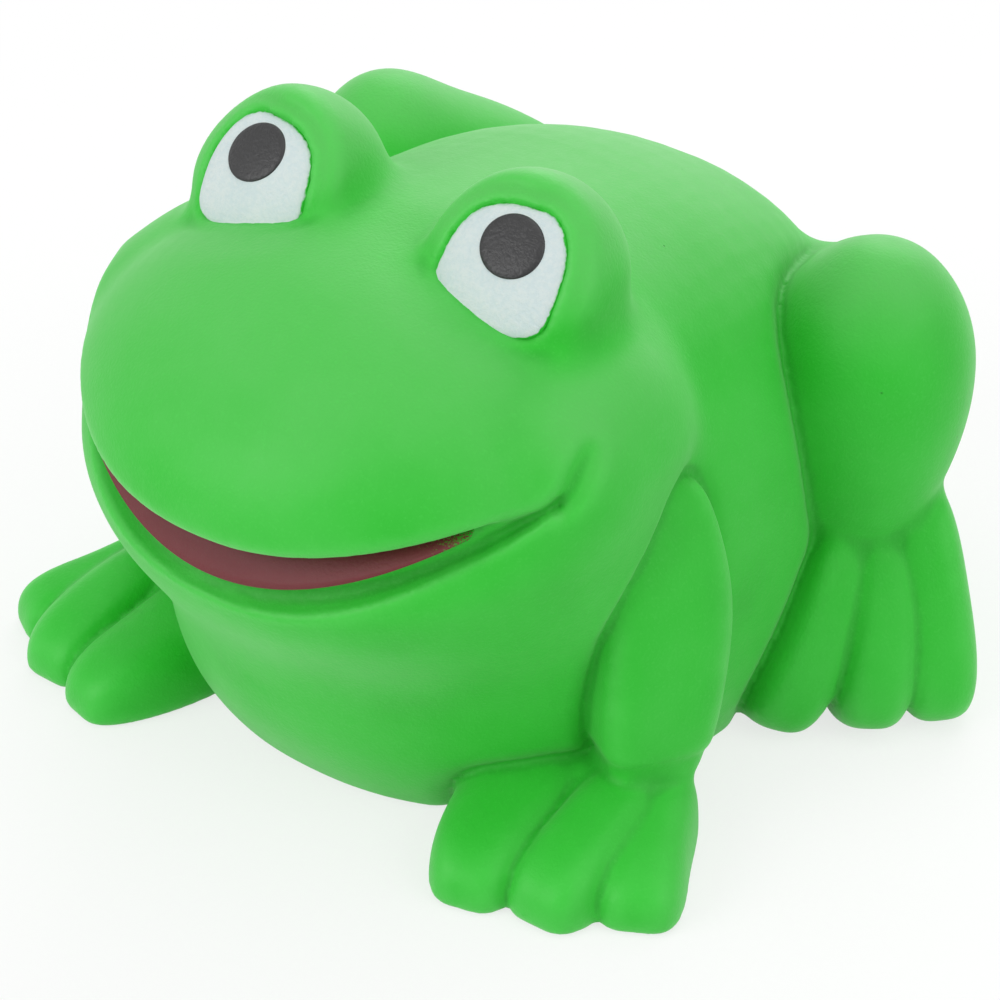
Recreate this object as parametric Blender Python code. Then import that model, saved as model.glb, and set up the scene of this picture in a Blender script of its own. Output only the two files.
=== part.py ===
"""Frog stress toy: a small foam figure that is pressed and squeezed in the hand.

The frog squats on z = 0, faces -Y and has its left side at +X. The origin is on the floor under
the middle of the figure. Every swelling form is a loft: oval sections carried along a smooth path
and rounded off at both ends. The forms meet as the moulded figure does: the torso is whole, and the
head and limbs are cut back to it with a small gap. The head and the pieces on it hang on an empty,
which stands on the line along which the foam gives when the head is pressed down.
"""

import math

import bmesh
import bpy
from mathutils import Matrix, Vector

MM = 0.001

# Clearances and the floor
GAP = 0.3
FLOOR_Z = 0.0
FLOOR_BLOCK = 120.0

# Torso: rows of y, z, half width, height above the path, depth below it
TORSO_ROWS = (
    (-34.2, 13.5, 19.8, 15.6, 13.2),
    (-19.2, 13.5, 26.4, 28.6, 22.0),
    (-3.2, 16.0, 28.4, 31.2, 26.0),
    (15.8, 15.5, 28.2, 30.2, 26.0),
    (39.2, 8.5, 20.9, 20.9, 18.4),
)
TORSO_BLUNT = 2.5
TORSO_SQUARE = 2.25

# Head: the muzzle is a bun, and the jaw under it rises backwards into the cheeks
MUZZLE_ROWS = (
    (-40.1, 33.0, 23.2, 12.8, 2.4),
    (-25.4, 32.0, 26.7, 15.6, 3.0),
    (-10.2, 33.5, 25.4, 16.0, 6.0),
    (5.8, 35.0, 20.0, 13.4, 8.0),
)
MUZZLE_BLUNT = 2.25
MUZZLE_SQUARE = 2.25
JAW_ROWS = (
    (-39.2, 24.4, 21.6, 6.5, 13.5),
    (-22.4, 30.0, 26.8, 9.5, 18.5),
    (-6.2, 35.5, 27.2, 9.0, 18.5),
)
JAW_BLUNT = 2.3
JAW_SQUARE = 2.3
CHEEK_ROWS = (
    (20.3, -21.5, 32.5, 6.0, 6.2),
    (20.8, -14.5, 36.0, 6.7, 7.0),
    (20.0, -2.0, 37.0, 6.4, 7.4),
)
CHEEK_BLUNT = 2.2

# Mouth: a crescent set back from the lip, low in the middle and rising to its corners
MOUTH_INSET = 3.4
MOUTH_BACK = 0.27
MOUTH_Z = 28.9
MOUTH_RISE = 6.6
MOUTH_OPEN = 4.6
MOUTH_CORNER = 0.8
MOUTH_DEPTH = 4.0
MOUTH_ROWS = 9

# Eyes: the white, its pupil, and the mound whose front is cut open for them
EYE_CENTRE = (12.7, -16.9, 50.2)
EYE_TILT = math.radians(31.2)
EYE_TURN = math.radians(4.4)
EYE_WHITE_WIDTH = 11.5
EYE_WHITE_UP = 4.95
EYE_WHITE_DOWN = 5.4
EYE_WHITE_THICK = 1.6
EYE_BALL_RADIUS = 20.0
EYE_FRONT_RINGS = (1.0, 0.75, 0.4)
EYE_BACK_RINGS = (0.3, 1.0)
EYE_CORNERS = (2.2, 1.8, 2.4, 2.4)
PUPIL_WIDTH = 5.8
PUPIL_HEIGHT = 5.4
PUPIL_OUT = 0.7
PUPIL_UP = 1.4
PUPIL_THICK = 0.4
PUPIL_RING = 0.5
SOCKET_REACH = 14.0
MOUND_WIDTH = 16.6
MOUND_HEIGHT = 17.2
MOUND_FRONT = 4.3
MOUND_LENGTH = 16.0
MOUND_SINK = 3.3
MOUND_DROP = 2.9
MOUND_TOE_IN = 1.6
MOUND_SLIMMER = 1.1
MOUND_LOWER = 1.6
MOUND_BLUNT = 2.4

# Limbs of the left side: rows of x, y, z, half width, half thickness
ARM_ROWS = (
    (24.6, -7.6, 31.5, 3.4, 3.0),
    (26.6, -12.2, 22.5, 5.4, 4.2),
    (27.6, -14.2, 15.0, 5.6, 4.3),
    (27.9, -15.4, 6.6, 5.6, 4.2),
)
ARM_FACE = (0.9, -0.43, 0.0)
ARM_BLUNT = 4.2
ARM_SQUARE = 2.8
THIGH_ROWS = (
    (26.4, 19.3, 40.8, 7.9, 8.5),
    (27.0, 17.3, 29.7, 9.8, 9.9),
    (28.2, 13.5, 13.5, 8.6, 8.0),
)
THIGH_FACE = (0.0, 1.0, 0.0)
HIP_ROWS = (
    (7.0, 36.8, 18.0, 8.0, 9.0),
    (18.0, 27.5, 24.5, 10.2, 11.6),
    (26.0, 20.0, 30.4, 10.6, 12.6),
)
THIGH_BLUNT = 2.3

# Palm and front toes: rows of x, y, half width, height over the floor
PALM_ROWS = (
    (20.5, -21.0, 5.0, 8.0),
    (25.0, -16.5, 6.2, 9.4),
    (28.5, -12.5, 4.4, 8.8),
)
PALM_BLUNT = 2.6
FRONT_TOE_ROWS = (
    ((24.8, -15.0, 3.6, 10.0), (22.6, -24.8, 4.2, 8.3), (20.3, -33.9, 4.3, 5.0)),
    ((27.2, -15.0, 3.6, 10.0), (28.0, -23.8, 4.2, 8.4), (28.6, -32.2, 4.2, 5.0)),
    ((28.2, -12.5, 3.2, 9.6), (30.6, -20.2, 3.6, 7.8), (34.2, -27.4, 3.6, 4.9)),
)
FRONT_TOE_BLUNT = 4.6
TOE_SQUARE = 2.8
TOE_SINK = 1.0

# Heel and rear toes: rows of x, y, z, half width, half thickness; the toes end on the floor
HEEL_ROWS = (
    (19.5, 27.5, 4.0, 6.2, 8.2),
    (27.0, 20.0, 5.0, 8.0, 11.2),
    (32.5, 13.8, 4.0, 6.7, 9.2),
)
HEEL_BLUNT = 2.6
REAR_TOE_ROWS = (
    ((27.0, 13.8, 18.0, 3.2, 5.0), (27.3, 8.8, 9.0, 3.8, 6.0), (27.7, 2.2, -1.0, 4.1, 5.0)),
    ((28.3, 16.3, 18.0, 3.2, 5.0), (31.3, 12.5, 9.0, 3.8, 6.0), (34.3, 7.8, -1.0, 4.1, 5.0)),
    ((29.2, 18.8, 18.0, 3.2, 5.0), (34.4, 16.8, 9.0, 3.8, 6.0), (39.2, 13.1, -1.0, 4.0, 5.0)),
)
REAR_TOE_FACE = (0.7, -0.7, 0.0)
REAR_TOE_BLUNT = 3.4

# The line along which the foam gives under a press on the head
PRESS_POINT = (0.0, -16.0, 24.0)

# Facets: rings along a form, and sides round it
FINE = (17, 24)
MEDIUM = (11, 18)
COARSE = (10, 14)
TOE_FACETS = (9, 12)
EYE_SIDES = 28
PUPIL_SIDES = 20
PATH_STEP = 0.001

# Materials: base colour, roughness
GREEN_PAINT = ((0.045, 0.53, 0.045), 0.55)
WHITE_PAINT = ((0.80, 0.87, 0.89), 0.60)
BLACK_PAINT = ((0.016, 0.016, 0.018), 0.40)
MAROON_PAINT = ((0.20, 0.045, 0.055), 0.60)

SIDES = (("left", 1.0), ("right", -1.0))


def curve_at(rows, t):
    """Row of a smooth curve through evenly spaced rows (Catmull-Rom), for t from 0 to 1."""
    last = len(rows) - 1
    place = min(max(t, 0.0), 1.0) * last
    i = min(int(place), last - 1)
    f = place - i
    b, c = Vector(rows[i]), Vector(rows[i + 1])
    a = Vector(rows[i - 1]) if i > 0 else 2 * b - c
    d = Vector(rows[i + 2]) if i + 2 <= last else 2 * c - b
    return 0.5 * (2 * b + (c - a) * f + (2 * a - 5 * b + 4 * c - d) * f**2 + (3 * b - a - 3 * c + d) * f**3)


def middle_rows(rows):
    """Rows of a form on the middle plane: y, z, half width, height, depth gain their x of 0."""
    return [(0.0, *row) for row in rows]


def limb_rows(rows):
    """Rows of a limb, whose section is as deep on one side of its path as on the other."""
    return [(*row, row[-1]) for row in rows]


def floor_rows(rows):
    """Rows of a form that lies on the floor, its path sunk a little so that its section is an arch."""
    return [(x, y, FLOOR_Z - TOE_SINK, wide, high + TOE_SINK, high) for x, y, wide, high in rows]


def end_rounding(t, blunt):
    """Share of the full section at t: a superellipse along the path, nothing at both ends."""
    return max(1.0 - abs(2.0 * t - 1.0) ** blunt, 0.0) ** (1.0 / blunt)


def bent(value, power):
    """A value to a power, with its sign kept."""
    return math.copysign(abs(value) ** power, value)


def grown_rows(rows, grow):
    """The rows of a form that is larger all round by grow, its ends included."""
    rows = [Vector(row) for row in rows]
    start = (rows[0].xyz - rows[1].xyz).normalized() * grow
    end = (rows[-1].xyz - rows[-2].xyz).normalized() * grow
    wider = [Vector((*row[:3], *(size + grow for size in row[3:]))) for row in rows]
    wider[0] += Vector((*start, 0.0, 0.0, 0.0))
    wider[-1] += Vector((*end, 0.0, 0.0, 0.0))
    return wider


def section_frame(rows, t, face):
    """Path point at t, the section's sideways and facing directions there, and its sizes."""
    here = curve_at(rows, t)
    ahead, behind = curve_at(rows, t + PATH_STEP), curve_at(rows, t - PATH_STEP)
    along = Vector((ahead - behind)[:3]).normalized()
    across = along.cross(Vector(face)).normalized()
    return Vector(here[:3]), across, across.cross(along), here[3:]


def loft(rows, blunt, face=(0.0, 0.0, 1.0), facets=MEDIUM, grow=0.0, side=1.0, square=2.0):
    """Closed mesh of superellipses carried along a path and rounded to a point at both ends."""
    rings, sides = facets
    rows = grown_rows(rows, grow)
    bm = bmesh.new()
    loops = []
    for i in range(1, rings):
        t = (1.0 - math.cos(math.pi * i / rings)) / 2.0
        centre, across, out, (wide, high, low) = section_frame(rows, t, face)
        share = end_rounding(t, blunt)
        loop = []
        for j in range(sides):
            angle = 2.0 * math.pi * j / sides
            c, s = bent(math.cos(angle), 2.0 / square), bent(math.sin(angle), 2.0 / square)
            rise = high if s > 0.0 else low
            point = centre + share * (wide * c * across + rise * s * out)
            loop.append(bm.verts.new((side * point.x * MM, point.y * MM, point.z * MM)))
        loops.append(loop)
    for one, two in zip(loops, loops[1:]):
        for j in range(sides):
            k = (j + 1) % sides
            bm.faces.new((one[j], one[k], two[k], two[j]))
    for row, loop in ((rows[0], loops[0]), (rows[-1], loops[-1])):
        pole = bm.verts.new((side * row[0] * MM, row[1] * MM, row[2] * MM))
        for j in range(sides):
            bm.faces.new((pole, loop[j], loop[(j + 1) % sides]))
    return bm


def rings_solid(rings):
    """Closed mesh of equal rings of points, bridged in order, with its first and last ring filled."""
    bm = bmesh.new()
    loops = [[bm.verts.new(point * MM) for point in ring] for ring in rings]
    for one, two in zip(loops, loops[1:]):
        for j in range(len(one)):
            k = (j + 1) % len(one)
            bm.faces.new((one[j], one[k], two[k], two[j]))
    bm.faces.new(loops[0])
    bm.faces.new(loops[-1])
    return bm


def paint(name, colour, roughness):
    """A matt paint."""
    material = bpy.data.materials.new(name)
    material.use_nodes = True
    shader = material.node_tree.nodes["Principled BSDF"]
    shader.inputs["Base Color"].default_value = (*colour, 1.0)
    shader.inputs["Roughness"].default_value = roughness
    shader.inputs["Metallic"].default_value = 0.0
    return material


def add_object(name, bm, material=None):
    """Object of a finished mesh, its faces turned outwards and flat, as the Booleans need them."""
    bmesh.ops.recalc_face_normals(bm, faces=bm.faces[:])
    bmesh.ops.triangulate(bm, faces=bm.faces[:])
    mesh = bpy.data.meshes.new(name)
    bm.to_mesh(mesh)
    bm.free()
    mesh.shade_smooth()
    if material:
        mesh.materials.append(material)
    item = bpy.data.objects.new(name, mesh)
    bpy.context.scene.collection.objects.link(item)
    return item


def tool(name, bm):
    """Hidden operand of a Boolean."""
    item = add_object(name, bm)
    item.hide_render = True
    item.display_type = "WIRE"
    return item


def boolean(item, operation, operand):
    """Boolean of an object with a tool."""
    modifier = item.modifiers.new(f"{operation.lower()}_{operand.name}", "BOOLEAN")
    modifier.operation = operation
    modifier.solver = "EXACT"
    modifier.object = operand


def mouth_rows():
    """Rows of the mouth's crescent, which follows the muzzle's outline at a set-back."""
    inner = grown_rows(middle_rows(MUZZLE_ROWS), -MOUTH_INSET)
    rows = []
    for i in range(MOUTH_ROWS):
        u = 2.0 * i / (MOUTH_ROWS - 1) - 1.0
        t = MOUTH_BACK * u * u
        row = curve_at(inner, t)
        half_width = row[3] * end_rounding(t, MUZZLE_BLUNT)
        half_open = MOUTH_CORNER + (MOUTH_OPEN / 2.0 - MOUTH_CORNER) * (1.0 - u * u)
        height = MOUTH_Z + MOUTH_RISE * u * u
        rows.append((math.copysign(half_width, u), row[1], height, MOUTH_DEPTH / 2.0, half_open, half_open))
    return rows


def eye_frame(side):
    """Placement of an eye: local x outwards from the middle, y up the white, z out of it."""
    tilt, turn = EYE_TILT, EYE_TURN
    front = Vector((math.sin(turn) * math.cos(tilt), -math.cos(turn) * math.cos(tilt), math.sin(tilt)))
    out = Vector((math.cos(turn), math.sin(turn), 0.0))
    up = front.cross(out)
    mirror = Vector((side, 1.0, 1.0))
    return lambda x, y, z: (Vector(EYE_CENTRE) + x * out + y * up + z * front) * mirror


def eye_bulge(x, y):
    """How far the eyeball's surface falls away from the white's middle at a point."""
    return -(x * x + y * y) / (2.0 * EYE_BALL_RADIUS)


def eye_outline(grow, share=1.0):
    """Outline of the white, drawn in to a share: four quarters of superellipses, each with its power."""
    points = []
    for i in range(EYE_SIDES):
        angle = 2.0 * math.pi * (i + 0.5) / EYE_SIDES
        power = 2.0 / EYE_CORNERS[int(angle / (math.pi / 2.0))]
        tall = EYE_WHITE_UP if math.sin(angle) > 0.0 else EYE_WHITE_DOWN
        x = bent(math.cos(angle), power) * (EYE_WHITE_WIDTH / 2.0 + grow)
        y = bent(math.sin(angle), power) * (tall + grow)
        points.append((x * share, y * share))
    return points


def eye_ring(side, outline, height):
    """Ring of points of an eye at a height over the eyeball's surface."""
    place = eye_frame(side)
    return [place(x, y, eye_bulge(x, y) + height) for x, y in outline]


def eye_white(side):
    """White of an eye: the arch with a ball-shaped front and back."""
    back = [eye_ring(side, eye_outline(0.0, share), -EYE_WHITE_THICK) for share in EYE_BACK_RINGS]
    front = [eye_ring(side, eye_outline(0.0, share), 0.0) for share in EYE_FRONT_RINGS]
    return rings_solid(back + front)


def eye_socket(side):
    """Room in front of a white: its outline with twice the gap, reaching out through the mound's front."""
    outline = eye_outline(2.0 * GAP)
    return rings_solid([eye_ring(side, outline, height) for height in (0.0, SOCKET_REACH)])


def white_room(side):
    """Room for the white and its pupil in the head, with a gap all round."""
    depth = EYE_WHITE_THICK + GAP
    rings = [eye_ring(side, eye_outline(GAP, share), -depth) for share in EYE_BACK_RINGS]
    rings.append(eye_ring(side, eye_outline(GAP), 2.0 * GAP + PUPIL_THICK))
    return rings_solid(rings)


def pupil(side):
    """Pupil: a thin oval cap that follows the white's front."""
    rings = []
    front = GAP + PUPIL_THICK
    angles = [2.0 * math.pi * i / PUPIL_SIDES for i in range(PUPIL_SIDES)]
    for share, height in ((PUPIL_RING, GAP), (1.0, GAP), (1.0, front), (PUPIL_RING, front)):
        wide, tall = PUPIL_WIDTH / 2.0 * share, PUPIL_HEIGHT / 2.0 * share
        oval = [(PUPIL_OUT + wide * math.cos(a), PUPIL_UP + tall * math.sin(a)) for a in angles]
        rings.append(eye_ring(side, oval, height))
    return rings_solid(rings)


def mound_rows():
    """Rows of an eye mound, from in front of the white to the crown of the head."""
    x, y, z = EYE_CENTRE[0], EYE_CENTRE[1] - MOUND_FRONT, EYE_CENTRE[2] - MOUND_SINK
    wide, tall = MOUND_WIDTH / 2.0, MOUND_HEIGHT / 2.0
    slim, low = wide - MOUND_SLIMMER, tall - MOUND_LOWER
    return (
        (x + MOUND_TOE_IN / 3.0, y, z, wide, tall, tall),
        (x, y + MOUND_LENGTH / 2.0, z, wide, tall, tall),
        (x - MOUND_TOE_IN * 2.0 / 3.0, y + MOUND_LENGTH, z - MOUND_DROP, slim, low, low),
    )


def floor_block():
    """Block under the floor that cuts the figure flat where it stands."""
    bm = bmesh.new()
    bmesh.ops.create_cube(bm, size=FLOOR_BLOCK * MM)
    bmesh.ops.translate(bm, verts=bm.verts[:], vec=(0.0, 0.0, (FLOOR_Z - FLOOR_BLOCK / 2.0) * MM))
    return bm


def build_torso(green, floor):
    """The torso, the largest form, cut flat underneath."""
    rows = middle_rows(TORSO_ROWS)
    form = loft(rows, TORSO_BLUNT, facets=FINE, square=TORSO_SQUARE)
    torso = add_object("torso", form, green)
    boolean(torso, "DIFFERENCE", floor)
    room = loft(rows, TORSO_BLUNT, facets=FINE, grow=GAP, square=TORSO_SQUARE)
    return tool("torso_room", room)


def build_head(green, torso_room):
    """Muzzle, jaw, cheeks and eye mounds in one, cut back to the torso, with eye sockets and mouth."""
    muzzle = loft(middle_rows(MUZZLE_ROWS), MUZZLE_BLUNT, facets=FINE, square=MUZZLE_SQUARE)
    head = add_object("head", muzzle, green)
    jaw = loft(middle_rows(JAW_ROWS), JAW_BLUNT, square=JAW_SQUARE)
    boolean(head, "UNION", tool("jaw", jaw))
    for name, side in SIDES:
        cheek = loft(limb_rows(CHEEK_ROWS), CHEEK_BLUNT, facets=COARSE, side=side)
        boolean(head, "UNION", tool(f"cheek_{name}", cheek))
        mound = tool(f"mound_{name}", loft(mound_rows(), MOUND_BLUNT, facets=COARSE, side=side))
        boolean(mound, "DIFFERENCE", tool(f"socket_{name}", eye_socket(side)))
        boolean(head, "UNION", mound)
    boolean(head, "DIFFERENCE", torso_room)
    for name, side in SIDES:
        boolean(head, "DIFFERENCE", tool(f"white_room_{name}", white_room(side)))
    slot = loft(mouth_rows(), MUZZLE_BLUNT, facets=COARSE, grow=GAP)
    boolean(head, "DIFFERENCE", tool("mouth_slot", slot))
    return head


def build_face(white, black, maroon):
    """The painted pieces on the head."""
    pieces = [add_object("mouth_lining", loft(mouth_rows(), MUZZLE_BLUNT, facets=COARSE), maroon)]
    for name, side in SIDES:
        pieces.append(add_object(f"eye_white_{name}", eye_white(side), white))
        pieces.append(add_object(f"pupil_{name}", pupil(side), black))
    return pieces


def build_front_leg(name, side, green, rooms, floor):
    """An arm with its palm and three toes in one, cut back to the torso, jaw and cheek."""
    arm = loft(limb_rows(ARM_ROWS), ARM_BLUNT, ARM_FACE, COARSE, side=side, square=ARM_SQUARE)
    leg = add_object(f"front_leg_{name}", arm, green)
    palm = loft(floor_rows(PALM_ROWS), PALM_BLUNT, facets=COARSE, side=side)
    boolean(leg, "UNION", tool(f"palm_{name}", palm))
    for i, rows in enumerate(FRONT_TOE_ROWS):
        form = floor_rows(rows)
        toe = loft(form, FRONT_TOE_BLUNT, facets=TOE_FACETS, side=side, square=TOE_SQUARE)
        boolean(leg, "UNION", tool(f"front_toe_{name}_{i}", toe))
    for room in rooms:
        boolean(leg, "DIFFERENCE", room)
    boolean(leg, "DIFFERENCE", floor)


def build_thigh(name, side, green, torso_room):
    """A thigh with its hip in one, cut back to the torso."""
    thigh = loft(limb_rows(THIGH_ROWS), THIGH_BLUNT, THIGH_FACE, MEDIUM, side=side)
    leg = add_object(f"thigh_{name}", thigh, green)
    hip = loft(limb_rows(HIP_ROWS), THIGH_BLUNT, facets=COARSE, side=side)
    boolean(leg, "UNION", tool(f"hip_{name}", hip))
    boolean(leg, "DIFFERENCE", torso_room)
    room = loft(limb_rows(THIGH_ROWS), THIGH_BLUNT, THIGH_FACE, MEDIUM, grow=GAP, side=side)
    return tool(f"thigh_room_{name}", room)


def build_rear_foot(name, side, green, torso_room, thigh_room, floor):
    """A rear foot: its heel and three toes in one, cut back to its thigh and the torso."""
    heel = loft(limb_rows(HEEL_ROWS), HEEL_BLUNT, facets=COARSE, side=side)
    foot = add_object(f"rear_foot_{name}", heel, green)
    for i, rows in enumerate(REAR_TOE_ROWS):
        form = limb_rows(rows)
        toe = loft(form, REAR_TOE_BLUNT, REAR_TOE_FACE, TOE_FACETS, side=side, square=TOE_SQUARE)
        boolean(foot, "UNION", tool(f"rear_toe_{name}_{i}", toe))
    boolean(foot, "DIFFERENCE", torso_room)
    boolean(foot, "DIFFERENCE", thigh_room)
    boolean(foot, "DIFFERENCE", floor)


def main():
    """Builds the figure in an emptied scene."""
    for item in list(bpy.data.objects):
        bpy.data.objects.remove(item, do_unlink=True)
    green = paint("green_paint", *GREEN_PAINT)
    white = paint("white_paint", *WHITE_PAINT)
    black = paint("black_paint", *BLACK_PAINT)
    maroon = paint("maroon_paint", *MAROON_PAINT)

    floor = tool("floor", floor_block())
    torso_room = build_torso(green, floor)
    head = build_head(green, torso_room)
    face = build_face(white, black, maroon)
    jaw = loft(middle_rows(JAW_ROWS), JAW_BLUNT, grow=GAP, square=JAW_SQUARE)
    jaw_room = tool("jaw_room", jaw)
    for name, side in SIDES:
        cheek = loft(limb_rows(CHEEK_ROWS), CHEEK_BLUNT, facets=COARSE, grow=GAP, side=side)
        rooms = (torso_room, jaw_room, tool(f"cheek_room_{name}", cheek))
        build_front_leg(name, side, green, rooms, floor)
        thigh_room = build_thigh(name, side, green, torso_room)
        build_rear_foot(name, side, green, torso_room, thigh_room, floor)

    press = bpy.data.objects.new("press_line", None)
    press.location = Vector(PRESS_POINT) * MM
    bpy.context.scene.collection.objects.link(press)
    for item in [head, *face]:
        item.parent = press
        item.matrix_parent_inverse = Matrix.Translation(-press.location)


main()
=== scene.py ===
"""Looks of a small foam frog that is squeezed in the hand.

Lengths are in millimetres until a mesh is made, and then in metres. The frog squats on z = 0, faces -Y
and has its left side at +X. The casting is one green skin. Each form of it is a swelling: oval sections
carried along a curve. The forms are melted together as distance fields, so that they meet in the soft
creases of a moulded foam figure, and the skin is the surface where the joined field is nought.
"""

import math

import bpy
import numpy as np
import openvdb
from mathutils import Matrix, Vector


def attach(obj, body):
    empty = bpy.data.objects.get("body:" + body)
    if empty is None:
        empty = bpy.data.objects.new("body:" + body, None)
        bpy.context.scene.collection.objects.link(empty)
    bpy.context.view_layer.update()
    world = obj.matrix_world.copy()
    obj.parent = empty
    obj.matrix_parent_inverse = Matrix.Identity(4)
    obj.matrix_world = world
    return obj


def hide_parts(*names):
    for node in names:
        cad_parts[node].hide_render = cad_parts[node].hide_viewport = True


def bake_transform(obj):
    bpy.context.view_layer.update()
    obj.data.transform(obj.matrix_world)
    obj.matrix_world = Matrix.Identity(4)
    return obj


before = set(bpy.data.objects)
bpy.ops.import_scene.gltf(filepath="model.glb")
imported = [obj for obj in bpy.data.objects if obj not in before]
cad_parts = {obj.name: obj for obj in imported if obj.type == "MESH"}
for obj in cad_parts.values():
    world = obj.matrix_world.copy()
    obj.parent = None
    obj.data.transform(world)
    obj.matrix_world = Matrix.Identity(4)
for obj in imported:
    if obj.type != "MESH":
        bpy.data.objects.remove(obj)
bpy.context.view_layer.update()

MM = 0.001

# Grid of the distance fields: the left half of the frog's space
VOXEL = 0.4
LOW_CORNER = np.array((0.0, -46.0, -3.0))
HIGH_CORNER = np.array((46.0, 45.0, 60.0))
BAND = 10.0

# How finely curves and outlines are drawn, and how the skin is freed of the grid's steps
FORM_RINGS = 56
FORM_SIDES = 72
SLOPE_STEP = 0.001
WHITE_SIDES = 120
PUPIL_SIDES = 96
LINING_RINGS = 161
DRAW_IN = 0.5
PUSH_OUT = -0.53
EVEN_ROUNDS = 8

# Forms: path points, half widths, heights over the path, depths under it, bluntness of the ends
TORSO = dict(
    path=((0, -32.9, 13.5), (0, -19.2, 13.5), (0, -3.2, 16), (0, 15.8, 15.5), (0, 39.1, 8.5)),
    wide=(17.5, 25.4, 28, 28, 21.2),
    tall=(13, 27.5, 29.6, 29.4, 22.6),
    low=(12.7, 23, 30, 30, 18),
    end=2.5,
    section=2.25,
)
MUZZLE = dict(
    path=((0, -40.4, 33), (0, -25.4, 32), (0, -10.2, 33.5), (0, 5.8, 35)),
    wide=(22.3, 25.7, 24, 18),
    tall=(12.8, 15.4, 15.1, 13),
    low=(10, 10, 10, 10),
    end=2.25,
    section=2.25,
)
JAW = dict(
    path=((0, -38.9, 24.5), (0, -22.4, 30), (0, -6.2, 35.5)),
    wide=(20.8, 25.8, 26.4),
    tall=(6.5, 9.5, 8.5),
    low=(10.9, 16.5, 16.5),
    end=2.3,
    section=2.3,
)
CHEEK = dict(
    path=((19.6, -25.5, 33.5), (20.6, -19, 36.6), (20, -9, 36.8)),
    wide=(5.6, 6.3, 5.8),
    tall=(6, 6.3, 6),
    end=2.2,
)
MOUND = dict(
    path=((13, -21.2, 46.9), (12.5, -13.2, 46.9), (11.6, -5.2, 44)),
    wide=(8.3, 8.3, 7),
    tall=(9, 9.1, 7.2),
    end=2.4,
)
ARM = dict(
    path=((23.9, -8.2, 30.2), (26.1, -12.2, 22), (27.1, -14.4, 14), (27.3, -16.2, 4)),
    wide=(3.2, 5.4, 5.4, 4.4),
    tall=(2.6, 3.7, 3.8, 3.9),
    end=4.2,
    section=3.6,
    face=(0.84, -0.54, 0),
)
PALM = dict(
    path=((18.5, -22, 0), (24.4, -17, 0), (29.4, -11.2, 0)),
    wide=(5.5, 5.6, 4),
    tall=(6.8, 7.4, 7.6),
    end=2.6,
)
FRONT_TOES = (
    dict(
        path=((18.6, -15, 0), (19.6, -25, 0), (21.8, -34, 0)),
        wide=(6, 5.3, 3.8),
        tall=(8.4, 6.5, 4.8),
    ),
    dict(
        path=((26.6, -14.5, 0), (27.5, -23.5, 0), (27.7, -32, 0)),
        wide=(3.8, 4.3, 4),
        tall=(8.6, 6.7, 4.8),
    ),
    dict(
        path=((27.6, -12.8, 0), (30.8, -20.4, 0), (34.9, -27.6, 0)),
        wide=(3.4, 3.8, 4),
        tall=(8.2, 6.1, 4.6),
    ),
)
FRONT_TOE_END = 3.8
THIGH = dict(
    path=((27.5, 17.9, 42), (26.9, 16.5, 29.9), (27.9, 13.3, 13.5)),
    wide=(7.6, 9.2, 8.3),
    tall=(7.7, 8.8, 7.8),
    end=2.3,
    face=(0, 1, 0),
)
HIP = dict(
    path=((12, 35, 17), (21, 26.2, 26), (26, 18.5, 30.3)),
    wide=(7, 8.6, 8.3),
    tall=(8, 9.6, 10.3),
    end=2.3,
)
REAR_TOES = (
    dict(
        path=((27, 13.8, 18), (27.3, 8.8, 9), (27.3, 2.7, 0)),
        wide=(2.6, 3.6, 4.0),
        tall=(5, 6, 5),
    ),
    dict(
        path=((28.3, 16.3, 18), (31.3, 12.5, 9), (34.3, 7.8, 0)),
        wide=(2.6, 3.6, 4.0),
        tall=(5, 6, 5),
    ),
    dict(
        path=((30.9, 18.2, 20), (34.3, 16.6, 9.5), (38.8, 12.9, 0)),
        wide=(3.4, 3.6, 3.9),
        tall=(5, 6, 5),
    ),
)
REAR_TOE_END = 3.4
REAR_TOE_FACE = (0.7, -0.7, 0)
TOE_SECTION = 3.2
HEEL = dict(
    path=((19.5, 27.5, 4), (27, 20, 5), (32.5, 13.8, 4)),
    wide=(6, 8.2, 6.5),
    tall=(8, 11.6, 9),
    end=2.6,
)

# How far neighbouring forms melt into each other, and how far a body is rounded where a limb is set in
CHEST_MELT = 8.0
CHEEK_MELT = 6.5
LIP_MELT = 0.9
FACE_MELT = 7.0
FACE_START = -23.0
FACE_END = -10.0
MOUND_MELT = 2.5
SEAM_ROUND = 2.6
SEAM_LEAST = 0.2
SEAM_MELT = 1.1
PALM_MELT = 1.0
HEEL_MELT = 2.5
LIMB_MELT = 1.4
WRIST_Z = 9.2
WRIST_ROUND = 0.7
WRIST_STEP = 0.35
TOE_MELT = 0.35
HAUNCH_MELT = 7.0
RUMP_MELT = 6.0
RUMP_START = 22.5
RUMP_END = 36.5
FLOOR_ROUND = 1.0

# The fold that runs up from each corner of the mouth
FOLD = dict(
    path=((24.9, -24.9, 36), (25.5, -23.8, 37.8), (25.7, -22, 40)),
    wide=(0.3, 0.4, 0.3),
    tall=(0.3, 0.4, 0.3),
)
FOLD_ROUND = 1.8

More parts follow.
